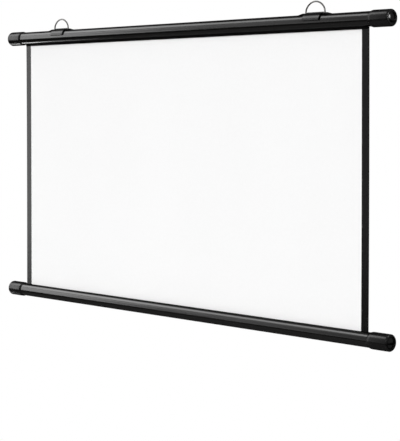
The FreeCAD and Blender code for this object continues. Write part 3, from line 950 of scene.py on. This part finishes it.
bend_inset, bend_round = 0.0017, 0.0012
lead_top = (lead_high.y - cloth_thick / 2, lead_high.z - cloth_thick / 2)
slot_bend = (0.0, case_level - (tube_radius - tube_wall - bend_inset))
lead_corners = (lead_top, slot_bend, (0.0, lead_low.z))
lead_line = rounded(lead_corners, [0, bend_round, 0], steps=10, closed=False)
cloth_strip("cloth_lead", lead_line, cloth_thick, "case", ["sheet_lead"])

rod_low, rod_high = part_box("hem_rod")
rod_level = (rod_low.z + rod_high.z) / 2
hem_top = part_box("hem_pocket")[1].z
loop_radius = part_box("hem_pocket")[1].y - cloth_thick / 2
meet = math.degrees(math.asin(cloth_thick / 2 / loop_radius))
loop = arc((0, rod_level), loop_radius, 90 + meet, 450 - meet, loop_steps)
tail_left, tail_right = (-cloth_thick / 2, hem_top), (cloth_thick / 2, hem_top)
hem_line = np.vstack((tail_left, loop, tail_right))
cloth_strip("hem_loop", hem_line, cloth_thick * gap_share, "bottom_bar", ["hem_pocket"])

# %% [markdown]
# ## Studio
# Black gloss is drawn by what it mirrors. A tube along X that is seen from the right mirrors
# what lies to the left, in a fan of directions round X, and its left end looks further left
# than its right end. So every lamp is placed by two numbers: how far along X it lies, as the X
# part of its direction, and how far round X, in degrees from the front upwards. Both decide
# where on the tubes its image lies: `along` moves it left or right, `around` up or down.
# Tall soft lamps at the left give the broad grey band on the upper half of each tube, which
# fades to the right because each next lamp is dimmer. A long strip above gives the thin
# bright line. It lights gloss only, because it would throw the case's shadow on the sheet.
# All of these are far away, so both ends of the sheet get the same light. A nearer fill lamp at
# the right lights the end faces of the caps. Two small lamps stand near: one makes the spark
# on a cap's dome, the other the glow under the far end. They light gloss only as well, or
# they would leave bright patches on the floor.

# %% Lamps placed round the tube's length
screen_middle = np.array((0.0, 0.0, (bar_level + case_level) / 2))


def lamp(name, along, around, distance, size, radiance, aim=screen_middle, roll=0.0, matte=True):
    """A rectangular lamp whose sides run along the tubes and round them, turned about its
    middle by the roll. Its power is its radiance times its area times pi, so its mirror
    image stays as bright at any size. One that isn't matte lights gloss only."""
    turn = math.radians(around)
    across = math.sqrt(1 - along ** 2)
    away = np.array((along, -across * math.cos(turn), across * math.sin(turn)))
    upward = np.array((0.0, math.sin(turn), math.cos(turn)))
    sideways = np.cross(upward, away)
    data = bpy.data.lights.new(name, "AREA")
    data.shape = "RECTANGLE"
    data.size, data.size_y = size
    data.energy = radiance * size[0] * size[1] * math.pi
    thing = bpy.data.objects.new(name, data)
    facing = Matrix(np.stack((sideways, upward, away), axis=-1).tolist()).to_4x4()
    facing = facing @ Matrix.Rotation(math.radians(roll), 4, "Z")
    thing.matrix_world = Matrix.Translation((aim + away * distance).tolist()) @ facing
    thing.visible_camera = False
    thing.visible_diffuse = matte
    bpy.context.scene.collection.objects.link(thing)
    share = size[0] * size[1] / distance ** 2 * max(-away[1], 0) / math.pi if matte else 0.0
    print(name, "light on the sheet's face:", round(radiance * share, 3))


far_away = 30.0
# name, along, around in degrees, distance, size along and round the tubes, radiance
lamp("left_softbox", -0.835, 13, far_away, (7.4, 20.0), 15.5)
lamp("left_overhead_softbox", -0.825, 70, far_away, (8.6, 16.4), 8.0)
lamp("middle_softbox", -0.70, 20, far_away, (3.4, 30.0), 3.2)
lamp("right_softbox", -0.61, 20, far_away, (3.8, 32.0), 0.8)
lamp("overhead_strip", -0.71, 69, far_away, (16.0, 11.4), 13.5, matte=False)
lamp("right_fill", 0.50, 30, 6.0, (1.8, 1.8), 9.0)
cap_end = np.array((cap_high.x, 0.0, case_level))
lamp("cap_spark", 0.935, 139, 0.7, (0.08, 0.34), 75.0, cap_end, roll=-50, matte=False)
low_glow_aim = np.array((case_low.x, 0.0, case_level))
lamp("low_left_glow", -0.77, -98, 2.4, (0.60, 0.40), 64.0, low_glow_aim, matte=False)

# %% [markdown]
# ## White surround and floor
# Camera, gloss and glass see white all round, and the little light that falls from all
# sides is weaker. A pale floor lies well below, because the screen hangs in the air. It fades
# out with distance, so that no edge of it shows. Two rings that only gloss sees glow at a set
# brightness and light nothing. They are painted reflections, set where a photographer would
# hang cards to shape black tubes. A dark one far out below paints a crisp lower line, and a grey
# one behind the lamps paints a softer upper rim.

# %% World
scene_world = bpy.data.worlds.new("white_surround")
bpy.context.scene.world = scene_world
scene_world.use_nodes = True
world_tree = scene_world.node_tree
world_tree.nodes.clear()
ambient_level = 0.25
light_path = world_tree.nodes.new("ShaderNodeLightPath")
white = world_tree.nodes.new("ShaderNodeBackground")
white.inputs["Strength"].default_value = 1.0
ambient = world_tree.nodes.new("ShaderNodeBackground")
ambient.inputs["Strength"].default_value = ambient_level
for background in (white, ambient):
    background.inputs["Color"].default_value = (1.0, 1.0, 1.0, 1.0)
chooser = world_tree.nodes.new("ShaderNodeMixShader")
world_out = world_tree.nodes.new("ShaderNodeOutputWorld")
sees_white = Wire(world_tree, light_path.outputs["Is Camera Ray"])
for ray in ("Is Glossy Ray", "Is Transmission Ray"):
    sees_white = sees_white.larger(Wire(world_tree, light_path.outputs[ray]))
world_tree.links.new(sees_white.socket, chooser.inputs[0])
world_tree.links.new(ambient.outputs[0], chooser.inputs[1])
world_tree.links.new(white.outputs[0], chooser.inputs[2])
world_tree.links.new(chooser.outputs[0], world_out.inputs[0])
print("light from all sides:", ambient_level)


# %% Floor, and rings that paint reflections
ring_rows, ring_steps = 9, 96


def flat_ring(name, inner, outer, level, finish, axes="xyz"):
    """A ring of quads round the third axis that is named, or a disc where the inner radius
    is 0. The level is its place along that axis."""
    angle = np.linspace(0, 2 * np.pi, ring_steps, endpoint=False)
    radius = np.linspace(inner, outer, ring_rows)[:, None]
    round_x, round_y = radius * np.cos(angle), radius * np.sin(angle)
    columns = dict(zip(axes, (round_x, round_y, np.full(round_x.shape, level))))
    points = np.stack([columns[axis] for axis in "xyz"], axis=-1)
    number = np.arange(ring_rows * ring_steps).reshape(ring_rows, ring_steps)
    number = np.hstack((number, number[:, :1]))
    quads = np.stack(cell_corners(number), axis=-1)
    mesh = bpy.data.meshes.new(name)
    mesh.from_pydata(points.reshape(-1, 3).tolist(), [], quads.reshape(-1, 4).tolist())
    mesh.materials.append(finish.material)
    ring = bpy.data.objects.new(name, mesh)
    bpy.context.scene.collection.objects.link(ring)
    print(name, "reaches from", inner, "to", outer, "m")
    return ring


floor_level = -0.95
floor_radius = 3.0
fade_start, fade_stop = floor_radius * 0.5, floor_radius * 1.04
floor_finish = Finish("pale_floor")
from_middle = floor_finish.node("VectorMath", {0: floor_finish.place()}, output=1,
                                operation="LENGTH")
fade_sockets = {"Value": from_middle, "From Min": fade_start, "From Max": fade_stop, "To Min": 1.0,
                "To Max": 0.0}
floor_fade = floor_finish.node("MapRange", fade_sockets, interpolation_type="SMOOTHERSTEP")
floor_finish.set(Base_Color=grey(0.92), Roughness=0.9, Specular_IOR_Level=0.1, Alpha=floor_fade)
flat_ring("studio_floor", 0.0, floor_radius, floor_level, floor_finish)


def painted_reflection_ring(name, brightness, inner, outer, level, axes="xyz"):
    """A ring that glows evenly as bright as its brightness says, and that only gloss sees: a
    painted reflection, which lights nothing.
    """
    finish = Finish(name)
    finish.set(Base_Color=grey(0.0), Specular_IOR_Level=0.0, Emission_Color=grey(1.0),
               Emission_Strength=brightness)
    finish.material.cycles.emission_sampling = "NONE"
    thing = flat_ring(name, inner, outer, level, finish, axes)
    for ray_kind in ("camera", "diffuse", "transmission", "shadow"):
        setattr(thing, "visible_" + ray_kind, False)


# name, brightness, inner and outer radius, level
# Both rings glow and only gloss sees them: painted reflections, a dark lower line and a grey upper
# rim on the tubes.
painted_reflection_ring("dark_painted_reflection", 0.01, 3.0, 9.0, floor_level - 0.02)
painted_reflection_ring("grey_painted_reflection", 0.5, 15.0, 52.0, -32.0, "yzx")
